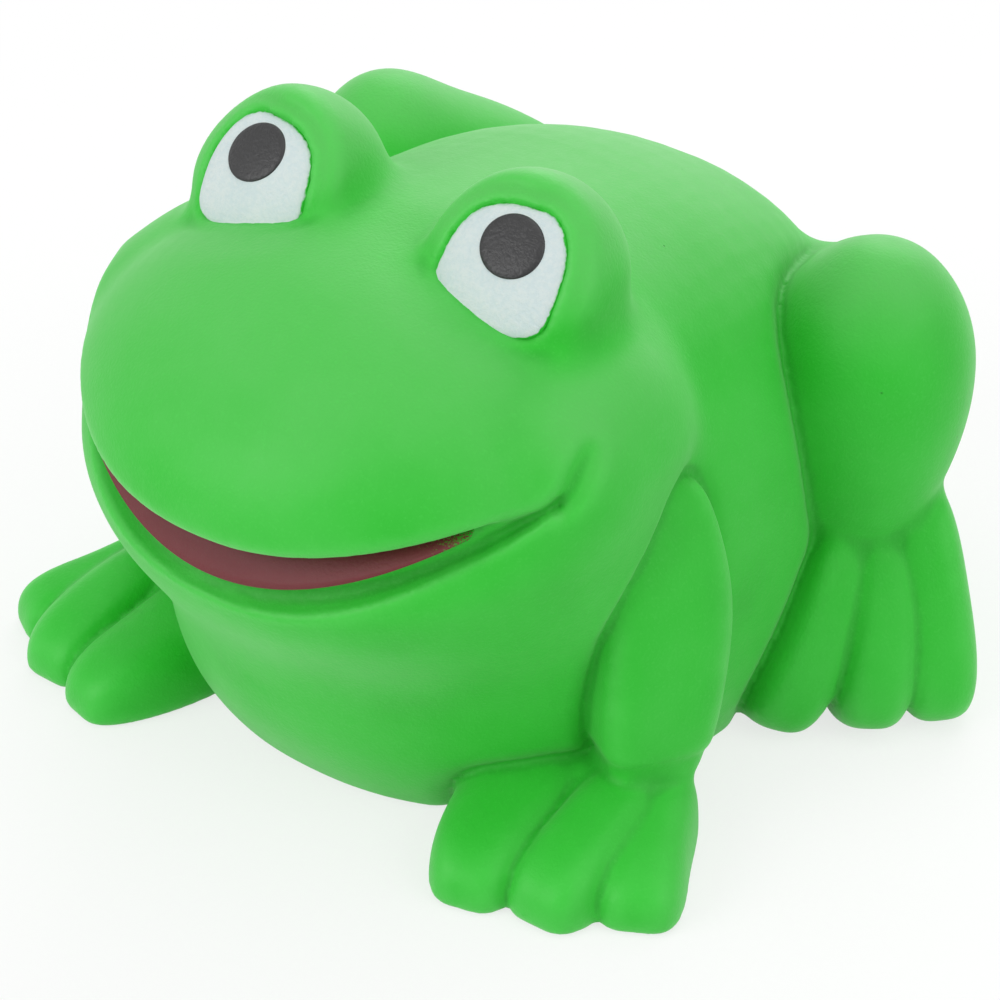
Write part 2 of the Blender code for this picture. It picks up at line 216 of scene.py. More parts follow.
# Mouth: the upper lip's edge and the lining's lower edge rise from the middle to the corners
LIP_Z = 31.55
LIP_RISE = 0.0088
LIP_ROUND = 1.4
LIP_FILL = 6.0
LIP_FILL_START = 0.2
LIP_FILL_END = 1.6
LINING_Z = 27.2
LINING_RISE = 0.0165
MOUTH_CENTRE_Y = -18.0
MOUTH_WIDE = 26.3
MOUTH_DEEP = 21.4
MOUTH_TURN = 0.97
LINING_TUCK = 1.6
LINING_TUCK_START = 0.94
LINING_THICK = 0.6
LINING_INSETS = (3.6, 2.7, 2.0, 1.45, 1.0, 0.65, 0.4, 0.5, 1.4)
LINING_SHARES = (-0.2, 0.1, 0.3, 0.5, 0.68, 0.84, 0.96, 1.0, 1.06)

# Inset of the jaw's front at heights over the lining's lower edge: the lower lip, its groove and the
# mouth. Towards the corners the room in front of the jaw is filled up.
JAW_HEIGHTS = (-3.2, -2.4, -1.8, -1.1, -0.5, 0.2, 1.0, 2.2, 3.4, 5.0)
JAW_INSETS = (-1.8, 0.0, 1.2, 1.8, 1.7, 1.2, 1.5, 2.3, 3.3, 5.0)
JAW_ROUND = 0.5
CORNER_PLACES = (20.5, 22, 23.2, 24.4, 26)
CORNER_FILLS = (0, 0.2, 0.75, 1.4, 5)

# Eyes: centre of the left white, how far it leans back and turns out, its half sizes and its pupil
EYE_CENTRE = np.array((13.73, -18.43, 48.78))
EYE_TILT = math.radians(32.7)
EYE_TURN = math.radians(6.7)
WHITE_OUT = 4.7
WHITE_IN = 6.5
WHITE_UP = 6.85
WHITE_DOWN = 3.5
WHITE_LEAN = 0.12
WHITE_CORNERS = (2.1, 3.1, 1.5, 3.9)
BALL_RADIUS = 18.7
WHITE_THICK = 1.6
WHITE_SHARES = (0.3, 0.97, 1.0, 1.0, 0.94, 0.8, 0.6, 0.4, 0.2)
WHITE_HEIGHTS = (-WHITE_THICK, -WHITE_THICK, 0.1 - WHITE_THICK, -0.15, 0.02, 0.05, 0.05, 0.05, 0.05)
PUPIL_PLACE = (-0.12, 3.46)
PUPIL_WIDE = 2.87
PUPIL_TALL = 2.6
PUPIL_LEAN = math.radians(-15.7)
PUPIL_SHARES = (0.5, 1.0, 1.0, 0.97, 0.8, 0.5, 0.2)
PUPIL_HEIGHTS = (-0.25, -0.25, 0.07, 0.17, 0.17, 0.17, 0.17)

# Room before each white: a rim that is cut wide and shallow, and the recess in it
ROOM_SHARES = (0.35, 0.7, 1.0, 1.0)
RECESS_GROW = -0.05
RECESS_DEPTH = 0.5
RECESS_ROUND = 0.9
RIM_GROW = 1.0
RIM_HEIGHT = 0.7
RIM_REACH = 14.0
RIM_ROUND = 3.0

# Paints: linear colours, and how softly chance picks the cells that hold a speck
GREEN = (0.012, 0.50, 0.015)
GREEN_PALE = (0.065, 0.62, 0.070)
GREEN_DEEP = (0.006, 0.34, 0.010)
# Painted sheen: the paler green laid on the skin where it faces up, bulges and stands high
GREEN_PAINTED_SHEEN = (0.080, 0.50, 0.080)
SPECK_PALE = (0.45, 0.75, 0.42)
WHITE = (0.66, 0.735, 0.725)
WHITE_COOL = (0.55, 0.67, 0.685)
BLACK = (0.012, 0.012, 0.013)
BLACK_WORN = (0.024, 0.024, 0.026)
MAROON = (0.138, 0.018, 0.023)
# Painted shade: the deep maroon laid under the upper lip
MAROON_PAINTED_SHADE = (0.060, 0.013, 0.016)
# The pale maroon is a painted highlight on the roll and also the real paleness of the grain
MAROON_PALE = (0.190, 0.036, 0.042)
SHEEN_TINT = (0.75, 1.0, 0.75)
PAPER = (0.97, 0.97, 0.97)
PLAIN_WHITE = (1.0, 1.0, 1.0)
CHANCE_SOFT = 0.01

# Light: strength of the air, and each lamp's name, place, power and size
AIR_LIGHT = 0.41
LAMPS = (
    ("front", (-0.20, -0.50, 0.30), 1.45, 0.40),
    ("right", (0.50, 0.00, 0.36), 1.0, 0.50),
    ("back", (-0.15, 0.50, 0.35), 1.5, 0.50),
    ("top", (0.0, 0.05, 0.70), 1.1, 0.55),
)
LAMP_AIM = (0.0, 0.01, 0.03)

# Floor: half its width, its share of plain white near the frog, and where the rest starts and ends
FLOOR_HALF = 2.0
FLOOR_GLOW = 0.74
FLOOR_NEAR = 0.07
FLOOR_FAR = 0.16

# Marks of the green skin: reach and full height of ridges and bulges, for the wear on ridges, the
# painted shade in hollows and the painted sheen that grows on top, on bulges and with height
RIDGE_REACH = 2.0
RIDGE_FULL = 0.22
BULGE_REACH = 7.0
BULGE_FULL = 1.4
PAINTED_SHEEN_ON_TOP = 0.65
PAINTED_SHEEN_ON_BULGES = 0.35
PAINTED_SHEEN_LOW = 16.0
PAINTED_SHEEN_HIGH = 44.0

# Camera
CAMERA_PLACE = (0.14895, -0.19136, 0.1699)
CAMERA_AZIMUTH = math.radians(37.99)
CAMERA_ELEVATION = math.radians(32.67)
CAMERA_LENS = 115.2
CAMERA_SENSOR = 36.0
CAMERA_NEAR = 0.01


def curve_through(values, t):
    """Points at t, from 0 to 1, of a smooth curve through evenly spaced values.

    Each stretch is a cubic whose slope at a value is half the difference of the values beside it.
    """
    v = np.asarray(values, float).reshape(len(values), -1)
    p = np.vstack((2 * v[0] - v[1], v, 2 * v[-1] - v[-2]))
    place = np.clip(t, 0, 1) * (len(v) - 1)
    i = np.minimum(place.astype(int), len(v) - 2)
    f = (place - i)[:, None]
    a, b, c, d = p[i], p[i + 1], p[i + 2], p[i + 3]
    second = 2 * a - 5 * b + 4 * c - d
    third = 3 * b - a - 3 * c + d
    return 0.5 * (2 * b + (c - a) * f + second * f**2 + third * f**3)


def bent(x, power):
    """x to a power, with its sign kept."""
    return np.sign(x) * np.abs(x) ** power


def bridged(rings):
    """Closed mesh over rings of points (ring, point, xyz): quads between rings, and a fan at each end.

    The fans' poles are the means of the first and the last ring.
    """
    count, sides = rings.shape[:2]
    poles = np.stack((rings[0].mean(0), rings[-1].mean(0)))
    points = np.vstack((rings.reshape(-1, 3), poles))
    a = np.arange((count - 1) * sides)
    b = a - a % sides + (a + 1) % sides
    quads = np.stack((a, b, b + sides, a + sides), 1)
    i = np.arange(sides)
    j = (i + 1) % sides
    last = (count - 1) * sides
    first_cap = np.stack((j, i, np.full(sides, count * sides)), 1)
    last_cap = np.stack((i + last, j + last, np.full(sides, count * sides + 1)), 1)
    return points, quads, np.vstack((first_cap, last_cap))


def swelling(path, wide, tall, low=None, end=2.4, section=2.0, face=(0, 0, 1)):
    """Superellipses carried along a curve, upright towards a face.

    At t along the curve their size is times (1 - |2t - 1|^end)^(1/end), so that both ends close.
    """
    t = (1 - np.cos(np.linspace(0, np.pi, FORM_RINGS + 1)[1:-1])) / 2
    middle = curve_through(path, t)
    along = curve_through(path, t + SLOPE_STEP) - curve_through(path, t - SLOPE_STEP)
    across = np.cross(along, np.asarray(face, float))
    across /= np.linalg.norm(across, axis=1)[:, None]
    out = np.cross(across, along)
    out /= np.linalg.norm(out, axis=1)[:, None]
    share = np.maximum(1 - np.abs(2 * t - 1) ** end, 0) ** (1 / end)
    half, over, under = (curve_through(row, t)[:, 0] * share for row in (wide, tall, low or tall))
    angle = np.linspace(0, 2 * np.pi, FORM_SIDES, endpoint=False)
    c = bent(np.cos(angle), 2 / section)
    s = bent(np.sin(angle), 2 / section)
    side = half[:, None] * c
    rise = np.where(s > 0, over[:, None], under[:, None]) * s
    return bridged(middle[:, None] + side[..., None] * across[:, None] + rise[..., None] * out[:, None])


def mirrored(form):
    """The same form on the frog's right side: x turned over, and its faces with it."""
    points, quads, tris = form
    return points * (-1, 1, 1), quads[:, ::-1], tris[:, ::-1]


GRID = tuple(np.ceil((HIGH_CORNER - LOW_CORNER) / VOXEL).astype(int) + 1)
TRANSFORM = openvdb.createLinearTransform(voxelSize=VOXEL)
STEPS = (corner + VOXEL * np.arange(count) for corner, count in zip(LOW_CORNER, GRID))
X, Y, Z = np.meshgrid(*STEPS, indexing="ij", sparse=True)


def distance(form):
    """Distance to a closed form at every point of the grid: less than nought inside it."""
    points, quads, tris = form
    level = openvdb.FloatGrid.createLevelSetFromPolygons(
        points=(points - LOW_CORNER).astype(np.float32),
        triangles=tris.astype(np.uint32),
        quads=quads.astype(np.uint32),
        transform=TRANSFORM,
        halfWidth=BAND / VOXEL,
    )
    field = np.empty(GRID, np.float32)
    level.copyToArray(field, ijk=(0, 0, 0))
    return field


def melt(a, b, reach):
    """Joins two fields: the lesser of them, rounded off where they differ by less than reach.

    h goes from 0 to 1 as b - a goes from -reach to reach. The fields are mixed by h, and the mix is
    made less by reach h (1 - h).
    """
    h = np.clip(0.5 + 0.5 * (b - a) / reach, 0, 1)
    return b + (a - b) * h - reach * h * (1 - h)


def keep(a, b, reach):
    """The space that two fields share: their melting turned inside out, so that its edge is rounded."""
    return -melt(-a, -b, reach)


def smooth_step(x, low, high):
    """0 below low, 1 above high, and 3s^2 - 2s^3 between."""
    s = np.clip((x - low) / (high - low), 0, 1)
    return s * s * (3 - 2 * s)


def eye_axes(side):
    """Directions of an eye: outwards along its white, up the white, and out of it.

    The last is -Y, leant back by the tilt and turned outwards by the turn.
    """
    front = np.array(
        (
            math.sin(EYE_TURN) * math.cos(EYE_TILT),
            -math.cos(EYE_TURN) * math.cos(EYE_TILT),
            math.sin(EYE_TILT),
        )
    )
    out = np.array((math.cos(EYE_TURN), math.sin(EYE_TURN), 0))
    up = np.cross(front, out)
    return [axis * (side, 1, 1) for axis in (out, up, front)]


def on_eye(side, x, y, height):
    """Points at x outwards and y up the white, at a height over the ball.

    The ball falls away as the square of the distance from the middle over twice its radius.
    """
    out, up, front = eye_axes(side)
    fall = (x * x + y * y) / (2 * BALL_RADIUS)
    z = height - fall
    return EYE_CENTRE * (side, 1, 1) + x[..., None] * out + y[..., None] * up + z[..., None] * front


def white_outline(grow):
    """Outline of the white: four quarters of superellipses, each with its own power and half sizes.

    They lean outwards as they rise.
    """
    angle = np.linspace(0, 2 * np.pi, WHITE_SIDES, endpoint=False)
    c = np.cos(angle)
    s = np.sin(angle)
    power = 2 / np.asarray(WHITE_CORNERS)[(angle // (np.pi / 2)).astype(int)]
    x = bent(c, power) * (np.where(c > 0, WHITE_OUT, WHITE_IN) + grow)
    y = bent(s, power) * (np.where(s > 0, WHITE_UP, WHITE_DOWN) + grow)
    return x + WHITE_LEAN * y, y


def before_eye(grow, height):
    """Space before the left white: its outline, grown, carried forwards from a height over the ball."""
    x, y = white_outline(grow)
    shares = np.array(ROOM_SHARES)[:, None]
    heights = np.array((height, height, height, RIM_REACH))[:, None]
    return bridged(on_eye(1, shares * x, shares * y, heights))


def mouth_curve(turn, inset, height):
    """Points on an ellipse round the mouth: drawn in by an inset, turned from its front, at a height."""
    x = (MOUTH_WIDE - inset) * np.sin(turn)
    y = MOUTH_CENTRE_Y - (MOUTH_DEEP - inset) * np.cos(turn)
    return np.stack(np.broadcast_arrays(x, y, height), -1)


def mouth_room():
    """Field of the space to clear in front of the jaw.

    It reaches in by an inset that changes with the height over the lining's lower edge. Over the lip's
    edge and at the corners of the mouth it is closed.
    """
    across = np.minimum(Y - MOUTH_CENTRE_Y, 0) / MOUTH_DEEP
    inset = MOUTH_DEEP * (1 - np.sqrt((X / MOUTH_WIDE) ** 2 + across**2))
    over = Z - LINING_Z - LINING_RISE * X**2
    cleared = np.interp(over, JAW_HEIGHTS, JAW_INSETS) - inset
    over_lip = Z - LIP_Z - LIP_RISE * X**2
    closed = LIP_FILL * smooth_step(over_lip, LIP_FILL_START, LIP_FILL_END)
    return closed + np.interp(X, CORNER_PLACES, CORNER_FILLS) - cleared


def limb(form, **more):
    """Field of a form of the left side: the distance to its swelling."""
    return distance(swelling(**form, **more))


def set_in(body, part, eased=0):
    """A body with a part set into it: its edge is rounded off towards the part, which leaves a crease.

    Where eased is 1 the crease gives way to a soft hollow.
    """
    cut_back = keep(body, -part, SEAM_ROUND * (1 - eased) + SEAM_LEAST)
    return melt(cut_back, part, SEAM_MELT + RUMP_MELT * eased)


def frog_field():
    """Joined field of the casting's left half: face and chest, then arm and hand, then haunch and foot.

    What reaches over from the right side, the eye mound and the hip, is melted in too, and the floor
    cuts it off flat.
    """
    lip = LIP_Z + LIP_RISE * X**2
    muzzle = keep(distance(swelling(**MUZZLE)), lip - Z, LIP_ROUND)
    chest = melt(distance(swelling(**TORSO)), distance(swelling(**JAW)), CHEST_MELT)
    chest = melt(chest, limb(CHEEK), CHEEK_MELT)
    chest = keep(chest, -mouth_room(), JAW_ROUND)
    field = melt(chest, muzzle, LIP_MELT + FACE_MELT * smooth_step(Y, FACE_START, FACE_END))
    for mound in (swelling(**MOUND), mirrored(swelling(**MOUND))):
        field = melt(field, distance(mound), MOUND_MELT)
    field = keep(field, -distance(before_eye(RIM_GROW, RIM_HEIGHT)), RIM_ROUND)
    field = keep(field, -distance(before_eye(RECESS_GROW, -RECESS_DEPTH)), RECESS_ROUND)
    field = melt(field, muzzle, LIP_MELT)
    field = keep(field, -limb(FOLD), FOLD_ROUND)

    hand = limb(PALM)
    for toe in FRONT_TOES:
        hand = melt(hand, limb(toe, end=FRONT_TOE_END, section=TOE_SECTION), TOE_MELT)
    arm = limb(ARM)
    sleeve = keep(arm, WRIST_Z - Z, WRIST_ROUND)
    hand = melt(hand, arm + WRIST_STEP, PALM_MELT)
    field = set_in(field, melt(sleeve, hand, TOE_MELT))

    toes = [limb(toe, end=REAR_TOE_END, section=TOE_SECTION, face=REAR_TOE_FACE) for toe in REAR_TOES]
    foot = melt(melt(toes[0], toes[1], TOE_MELT), toes[2], TOE_MELT)
    foot = melt(foot, limb(HEEL), HEEL_MELT)
    haunch = melt(limb(THIGH), limb(HIP), HAUNCH_MELT)
    rear = smooth_step(Y, RUMP_START, RUMP_END)
    field = set_in(field, melt(foot, haunch, LIMB_MELT), rear)
    field = melt(field, distance(mirrored(swelling(**HIP))), RUMP_MELT)
    return keep(field, -Z, FLOOR_ROUND)


def new_piece(name, points, faces, **values):
    """Object of a finished mesh, smoothly shaded, with named values on its points."""
    mesh = bpy.data.meshes.new(name)
    mesh.from_pydata((points * MM).tolist(), [], faces)
    mesh.update()
    mesh.shade_smooth()
    for key, value in values.items():
        mesh.attributes.new(key, "FLOAT", "POINT").data.foreach_set("value", value.astype(np.float32))
    piece = bpy.data.objects.new(name, mesh)
    bpy.context.scene.collection.objects.link(piece)
    return piece


def drawn_in(points, quads, shares):
    """Points moved towards the mean of their neighbours by each share in turn."""
    ends = np.concatenate([quads[:, (i, (i + 1) % 4)] for i in range(4)])
    ends = np.concatenate((ends, ends[:, ::-1]))
    start, stop = ends[:, 0], ends[:, 1]
    count = np.bincount(start, minlength=len(points))[:, None]
    for share in shares:
        total = [np.bincount(start, points[stop, axis], len(points)) for axis in range(3)]
        points = points + share * (np.stack(total, 1) / count - points)
    return points


def evened(points, quads):
    """Points freed of the grid's steps: drawn in and pushed out again by a little more, in turn."""
    return drawn_in(points, quads, (DRAW_IN, PUSH_OUT) * EVEN_ROUNDS)


def point_normals(points, quads):
    """Outward directions at the points: the sum of the cross products of their faces' diagonals."""
    a, b, c, d = (points[quads[:, i]] for i in range(4))
    face = np.cross(c - a, d - b)
    corners = quads.T.ravel()
    sums = [np.bincount(corners, np.tile(face[:, axis], 4), len(points)) for axis in range(3)]
    total = np.stack(sums, 1)
    return total / np.linalg.norm(total, axis=1)[:, None]


def relief(points, quads, reach, full):
    """How far each point stands out from the skin drawn in over a reach, along its outward direction.

    It is 1 where the point stands out in full, and -1 as deep in a hollow.
    """
    rounds = int((reach / VOXEL) ** 2)
    fall = points - drawn_in(points, quads, (DRAW_IN,) * rounds)
    return np.clip((fall * point_normals(points, quads)).sum(1) / full, -1, 1)


def make_skin():
    """The casting: the surface where the field, mirrored to both sides, is nought.

    Its points carry the ridges, and a painted sheen that grows with how far they face up, with bulges
    and with the height.
    """
    half = frog_field()
    whole = np.concatenate((half[:0:-1], half)).astype(np.float32)
    level = openvdb.FloatGrid(BAND)
    level.copyFromArray(np.ascontiguousarray(whole), ijk=(1 - GRID[0], 0, 0))
    level.transform = TRANSFORM
    points, quads = level.convertToQuads(0.0)
    quads = np.asarray(quads, int)
    points = evened(np.asarray(points, float), quads) + LOW_CORNER
    ridge = relief(points, quads, RIDGE_REACH, RIDGE_FULL)
    bulge = relief(points, quads, BULGE_REACH, BULGE_FULL)
    # Painted sheen: a share that grows where the skin faces up and bulges, and with the height
    haze = PAINTED_SHEEN_ON_TOP * point_normals(points, quads)[:, 2] + PAINTED_SHEEN_ON_BULGES * bulge
    haze *= smooth_step(points[:, 2], PAINTED_SHEEN_LOW, PAINTED_SHEEN_HIGH)
    return new_piece("skin", points, quads.tolist(), ridge=ridge, haze=haze)


def eye_piece(name, side, x, y, heights, **values):
    """Piece of an eye: rings of points on the ball, closed, and turned over on the right side."""
    points, quads, tris = bridged(on_eye(side, x, y, np.array(heights)[:, None]))
    if side < 0:
        quads, tris = quads[:, ::-1], tris[:, ::-1]
    return new_piece(name, points, quads.tolist() + tris.tolist(), **values)


def make_white(name, side):
    """White of an eye: rings drawn in from its outline over the ball, with a flat-sided back.

    Its points carry their ring's share of the outline.
    """
    x, y = white_outline(0.0)
    shares = np.array(WHITE_SHARES)
    rim = np.append(np.repeat(shares, len(x)), (shares[0], 0))
    return eye_piece(name, side, shares[:, None] * x, shares[:, None] * y, WHITE_HEIGHTS, rim=rim)


def make_pupil(name, side):
    """Pupil: a leaning oval cap of rings that follow the ball."""
    angle = np.linspace(0, 2 * np.pi, PUPIL_SIDES, endpoint=False)
    shares = np.array(PUPIL_SHARES)[:, None]
    wide = shares * PUPIL_WIDE * np.cos(angle)
    tall = shares * PUPIL_TALL * np.sin(angle)
    x = PUPIL_PLACE[0] + wide * math.cos(PUPIL_LEAN) - tall * math.sin(PUPIL_LEAN)
    y = PUPIL_PLACE[1] + wide * math.sin(PUPIL_LEAN) + tall * math.cos(PUPIL_LEAN)
    return eye_piece(name, side, x, y, PUPIL_HEIGHTS)


def make_lining():
    """Mouth's lining: a soft roll with a plain back, carried round the mouth.

    It reaches from under the lip down to its lower edge, and its two ends are tucked in. Its points
    carry their nearness to an end and their depth under the lip.
    """
    turn = np.linspace(-MOUTH_TURN, MOUTH_TURN, LINING_RINGS)[:, None]
    x = MOUTH_WIDE * np.sin(turn)
    top = LIP_Z + LIP_RISE * x**2
    low = LINING_Z + LINING_RISE * x**2
    insets = np.append(LINING_INSETS, np.add(LINING_INSETS, LINING_THICK)[::-1])
    shares = np.append(LINING_SHARES, LINING_SHARES[::-1])
    inset = insets + LINING_TUCK * smooth_step(np.abs(turn), LINING_TUCK_START * MOUTH_TURN, MOUTH_TURN)
    points, quads, tris = bridged(mouth_curve(turn, inset, top + (low - top) * shares))
    end = np.repeat(np.abs(turn) / MOUTH_TURN, len(shares))
    depth = np.tile(shares, len(turn))
    # The two poles lie at the ends, half way down
    end = np.append(end, (1, 1))
    depth = np.append(depth, (0.5, 0.5))
    return new_piece("lining", points, quads.tolist() + tris.tolist(), end=end, depth=depth)


class Value:
    """A socket that can be reckoned with: each operator adds the Math node that works it out."""

    def __init__(self, finish, socket):
        self.finish = finish
        self.socket = socket

    def __add__(self, other):
        return self.finish.reckon("ADD", self, other)

    def __radd__(self, other):
        return self.finish.reckon("ADD", other, self)

    def __sub__(self, other):
        return self.finish.reckon("SUBTRACT", self, other)

    def __rsub__(self, other):
        return self.finish.reckon("SUBTRACT", other, self)

    def __mul__(self, other):
        return self.finish.reckon("MULTIPLY", self, other)

    def __rmul__(self, other):
        return self.finish.reckon("MULTIPLY", other, self)


class Finish:
    """The nodes of a material or world round one shader."""

    def __init__(self, owner, shader="Principled BSDF"):
        owner.use_nodes = True
        self.owner = owner
        self.tree = owner.node_tree
        self.shader = self.tree.nodes[shader]
        self.place = self.node("ShaderNodeTexCoord", {}, {}, "Object")

    def feed(self, socket, value):
        """Sets a socket to a number or colour, or links it to a value."""
        if isinstance(value, Value):
            self.tree.links.new(value.socket, socket)
        elif isinstance(value, tuple) and len(value) < len(socket.default_value):
            socket.default_value = (*value, 1)
        else:
            socket.default_value = value

    def node(self, kind, settings, sockets, output=0):
        """Any node: its kind, its settings, what its sockets take, and the output that is wanted."""
        node = self.tree.nodes.new(kind)
        for name, setting in settings.items():
            setattr(node, name, setting)
        for key, value in sockets.items():
            self.feed(node.inputs[key], value)
        return Value(self, node.outputs[output])

    def reckon(self, operation, a, b):
        """What a Math node makes of two values."""
        return self.node("ShaderNodeMath", {"operation": operation}, {0: a, 1: b})

    def step(self, value, low, high):
        """0 below low, 1 above high, a smooth step between; the other way round if low is greater."""
        sockets = {"Value": value, "From Min": low, "From Max": high}
        return self.node("ShaderNodeMapRange", {"interpolation_type": "SMOOTHSTEP"}, sockets)

    def mix(self, share, a, b):
        """Colour a turning into colour b."""
        return self.node("ShaderNodeMix", {"data_type": "RGBA"}, {0: share, 6: a, 7: b}, 2)

    def point_value(self, name):
        """A value that the piece's points carry."""
        return self.node("ShaderNodeAttribute", {"attribute_name": name}, {}, "Fac")

    def noise(self, size, detail, roughness=0.5):
        """Soft noise about 0.5, whose lumps have a size in metres."""
        sockets = {"Vector": self.place, "Scale": 1 / size, "Detail": detail, "Roughness": roughness}
        return self.node("ShaderNodeTexNoise", {}, sockets, "Fac")

    def specks(self, spacing, radius, share):
        """1 on round specks, one in each cell of a spacing, in a share of the cells.

        A speck falls off from half its radius outwards.
        """
        sockets = {"Vector": self.place, "Scale": 1 / spacing}
        distance = self.node("ShaderNodeTexVoronoi", {}, sockets, "Distance")
        colour = self.node("ShaderNodeTexVoronoi", {}, sockets, "Color")
        chance = self.node("ShaderNodeSeparateColor", {}, {"Color": colour}, "Red")
        round_spot = self.step(distance, radius / spacing, 0.5 * radius / spacing)
        return round_spot * self.step(chance, 1 - share, 1 - share + CHANCE_SOFT)

    def bump(self, height, depth, strength):
        """Normal of a surface that rises by depth, in metres, where the height goes from 0 to 1."""
        sockets = {"Height": height, "Distance": depth, "Strength": strength}
        return self.node("ShaderNodeBump", {}, sockets, "Normal")

    def looking(self):
        """1 for what is seen straight, in a gloss or through glass, and 0 for the light on things."""
        rays = ("Is Camera Ray", "Is Glossy Ray", "Is Transmission Ray")
        camera, glossy, clear = (self.node("ShaderNodeLightPath", {}, {}, ray) for ray in rays)
        return camera + glossy + clear

    def done(self, **sockets):
        """The owner, with the shader's sockets set by name, an underscore standing for a space."""
        for name, value in sockets.items():
            self.feed(self.shader.inputs[name.replace("_", " ")], value)
        return self.owner


def green_paint():
    """Matt green foam skin.

    Its colour is green, turned pale and deep by clouds, with a painted sheen on top, painted shade
    where the skin lies in a hollow, pale where it is rubbed or grainy, painted shade in the pinholes
    and pale dust. Its roughness follows the fine noise and is less where it is rubbed. It rises with
    grain and fine noise, and it sinks at the pinholes.
    """
    f = Finish(bpy.data.materials.new("green paint"))
    ridge = f.point_value("ridge")
    haze = f.point_value("haze")
    cloud = f.noise(size=0.012, detail=3.0)
    grain = f.noise(size=0.00028, detail=2.0, roughness=0.6)
    fine = f.noise(size=0.0011, detail=3.0, roughness=0.6)
    pinhole = f.specks(spacing=0.0036, radius=0.00012, share=0.12)
    dust = f.specks(spacing=0.0065, radius=0.00016, share=0.10)
    rubbed = f.step(ridge + (fine - 0.5) * 0.4, low=0.25, high=1.1)
    # Painted shade: the green deepens where the skin lies in a hollow or crease
    crease_shade = f.step(ridge + (cloud - 0.5) * 0.3, low=-0.1, high=-0.9)
    # Painted sheen: paler green laid on top from the points' share
    painted_sheen_share = f.step(haze + (cloud - 0.5) * 0.3, low=0.2, high=0.8)
    colour = f.mix(f.step(cloud, low=0.3, high=0.75) * 0.30, GREEN, GREEN_PALE)
    colour = f.mix(f.step(cloud, low=0.45, high=0.2) * 0.25, colour, GREEN_DEEP)
    colour = f.mix(painted_sheen_share * 0.85, colour, GREEN_PAINTED_SHEEN)
    colour = f.mix(crease_shade * 0.55, colour, GREEN_DEEP)
    colour = f.mix(rubbed * 0.45, colour, GREEN_PALE)
    colour = f.mix(f.step(grain, low=0.52, high=0.75) * 0.20, colour, GREEN_PALE)
    # Painted shade in the pinholes: they are darkened in colour as well as pressed in by the bump
    colour = f.mix(pinhole * 0.7, colour, GREEN_DEEP)
    colour = f.mix(dust * 0.8, colour, SPECK_PALE)
    return f.done(
        Base_Color=colour,
        Roughness=0.56 + (fine - 0.5) * 0.16 - rubbed * 0.08,
        Normal=f.bump(grain * 0.6 + fine * 0.4 - pinhole * 2.0, depth=0.00008, strength=0.7),
        Specular_IOR_Level=0.42,
        Sheen_Weight=0.25,
        Sheen_Roughness=0.5,
        Sheen_Tint=SHEEN_TINT,
    )


def white_paint():
    """Granular white spray.

    Its colour is white, cooler in the hollows of its grain and clouds, and turns into the skin's green
    at its ragged edge. Its roughness and rise follow the grain.
    """
    f = Finish(bpy.data.materials.new("white paint"))
    grain = f.noise(size=0.00042, detail=3.0, roughness=0.65)
    cloud = f.noise(size=0.004, detail=2.0)
    ragged = f.noise(size=0.0007, detail=2.0)
    edge = f.step(f.point_value("rim") + (ragged - 0.5) * 0.06, low=0.975, high=0.995)
    cool = f.step(grain, low=0.62, high=0.38) * 0.45 + f.step(cloud, low=0.6, high=0.3) * 0.25
    colour = f.mix(cool, WHITE, WHITE_COOL)
    colour = f.mix(edge, colour, GREEN)
    return f.done(
        Base_Color=colour,
        Roughness=0.62 + (grain - 0.5) * 0.2,
        Normal=f.bump(grain, depth=0.00014, strength=0.7),
    )


def black_paint():
    """Satin black print on the foam.

    Its colour is black, greyer where the grain stands out and where it is worn. Its roughness follows
    the wear, and its rise the foam's grain.
    """
    f = Finish(bpy.data.materials.new("black paint"))
    grain = f.noise(size=0.00034, detail=3.0, roughness=0.6)
    wear = f.noise(size=0.0018, detail=3.0, roughness=0.6)
    worn = f.step(grain, low=0.5, high=0.72) * 0.6 + f.step(wear, low=0.5, high=0.75) * 0.3
    return f.done(
        Base_Color=f.mix(worn, BLACK, BLACK_WORN),
        Roughness=0.36 + (wear - 0.5) * 0.2,
        Normal=f.bump(grain, depth=0.00012, strength=0.8),
    )


def maroon_paint():
    """Dark red spray in the mouth.

    Its colour has painted shade under the lip and a painted highlight on its roll, is paler on its
    grain, and breaks up into specks of the deep green at the corners. Its roughness follows the grain,
    and its rise grain and clouds.
    """
    f = Finish(bpy.data.materials.new("maroon paint"))
    grain = f.noise(size=0.00032, detail=3.0, roughness=0.65)
    cloud = f.noise(size=0.003, detail=3.0)
    speckle = f.noise(size=0.00016, detail=2.0, roughness=0.6)
    depth = f.point_value("depth") + (cloud - 0.5) * 0.2
    spent = f.point_value("end") + (speckle - 0.5) * 0.55
    # Painted shade under the lip, then a painted highlight on the lower part of the roll
    colour = f.mix(f.step(depth, low=0.5, high=0.05), MAROON, MAROON_PAINTED_SHADE)
    colour = f.mix(f.step(depth, low=0.55, high=0.9) * 0.5, colour, MAROON_PALE)
    colour = f.mix(f.step(grain, low=0.5, high=0.75) * 0.3, colour, MAROON_PALE)
    colour = f.mix(f.step(spent, low=0.87, high=0.99), colour, GREEN_DEEP)
    return f.done(
        Base_Color=colour,
        Roughness=0.52 + (grain - 0.5) * 0.24,
        Normal=f.bump(grain * 0.7 + cloud * 0.3, depth=0.00012, strength=0.6),
        Specular_IOR_Level=0.35,
    )


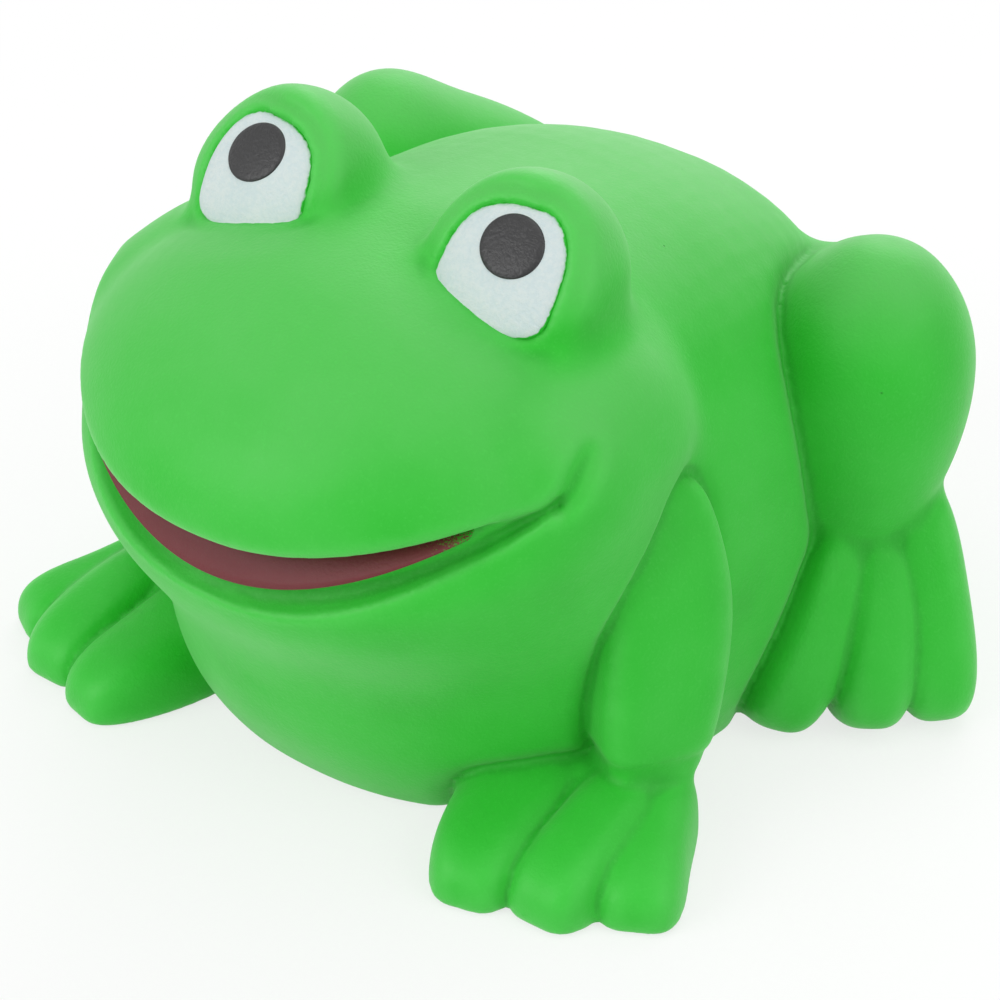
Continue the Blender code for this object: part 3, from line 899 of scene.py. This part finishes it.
def paper_floor():
    """White paper under the frog that takes its shadow.

    What looks at it sees a share of plain white, which grows to the whole with the distance.
    """
    f = Finish(bpy.data.materials.new("paper"))
    fibre = f.noise(size=0.0006, detail=3.0, roughness=0.6)
    f.done(
        Base_Color=f.mix(f.step(fibre, low=0.4, high=0.7) * 0.4, PAPER, PLAIN_WHITE),
        Roughness=0.85 + (fibre - 0.5) * 0.1,
        Normal=f.bump(fibre, depth=0.00002, strength=0.3),
        Specular_IOR_Level=0.1,
    )
    reach = f.node("ShaderNodeVectorMath", {"operation": "LENGTH"}, {0: f.place}, "Value")
    glow = f.node("ShaderNodeEmission", {}, {"Color": PLAIN_WHITE, "Strength": 1.0})
    paper = Value(f, f.shader.outputs[0])
    plain = FLOOR_GLOW + f.step(reach, low=FLOOR_NEAR, high=FLOOR_FAR) * (1 - FLOOR_GLOW)
    surface = f.node("ShaderNodeMixShader", {}, {0: plain * f.looking(), 1: paper, 2: glow})
    f.feed(f.tree.nodes["Material Output"].inputs["Surface"], surface)
    return f.owner


def white_world():
    """Even light all round, and plain white for what looks past the floor."""
    f = Finish(bpy.data.worlds.new("studio"), "Background")
    return f.done(Color=PLAIN_WHITE, Strength=AIR_LIGHT + f.looking() * (1 - AIR_LIGHT))


skin = make_skin()
skin.data.materials.append(green_paint())
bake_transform(skin)
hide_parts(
    "torso", "head", "front_leg_left", "front_leg_right", "thigh_left", "thigh_right",
    "rear_foot_left", "rear_foot_right",
)
lining = make_lining()
lining.data.materials.append(maroon_paint())
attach(lining, "head")
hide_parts("mouth_lining")
white = white_paint()
black = black_paint()
for name, side in (("left", 1), ("right", -1)):
    eye = make_white(f"white_{name}", side)
    eye.data.materials.append(white)
    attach(eye, "head")
    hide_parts(f"eye_white_{name}")
    dot = make_pupil(f"dot_{name}", side)
    dot.data.materials.append(black)
    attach(dot, "head")
    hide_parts(f"pupil_{name}")

scene = bpy.context.scene
camera = bpy.data.objects.new("camera", bpy.data.cameras.new("camera"))
camera.data.lens = CAMERA_LENS
camera.data.sensor_width = CAMERA_SENSOR
camera.data.clip_start = CAMERA_NEAR
camera.location = CAMERA_PLACE
camera.rotation_euler = (math.pi / 2 - CAMERA_ELEVATION, 0, CAMERA_AZIMUTH)
scene.collection.objects.link(camera)
scene.camera = camera
scene.view_settings.view_transform = "Standard"

scene.world = white_world()

floor_mesh = bpy.data.meshes.new("floor")
floor_corners = [(x * FLOOR_HALF, y * FLOOR_HALF, 0) for x, y in ((-1, -1), (1, -1), (1, 1), (-1, 1))]
floor_mesh.from_pydata(floor_corners, [], [(0, 1, 2, 3)])
floor = bpy.data.objects.new("floor", floor_mesh)
floor_mesh.materials.append(paper_floor())
scene.collection.objects.link(floor)

for name, place, power, size in LAMPS:
    lamp = bpy.data.objects.new(name, bpy.data.lights.new(name, "AREA"))
    lamp.data.energy = power
    lamp.data.size = size
    lamp.location = place
    lamp.rotation_euler = (Vector(LAMP_AIM) - Vector(place)).to_track_quat("-Z", "Y").to_euler()
    scene.collection.objects.link(lamp)

bpy.context.view_layer.update()
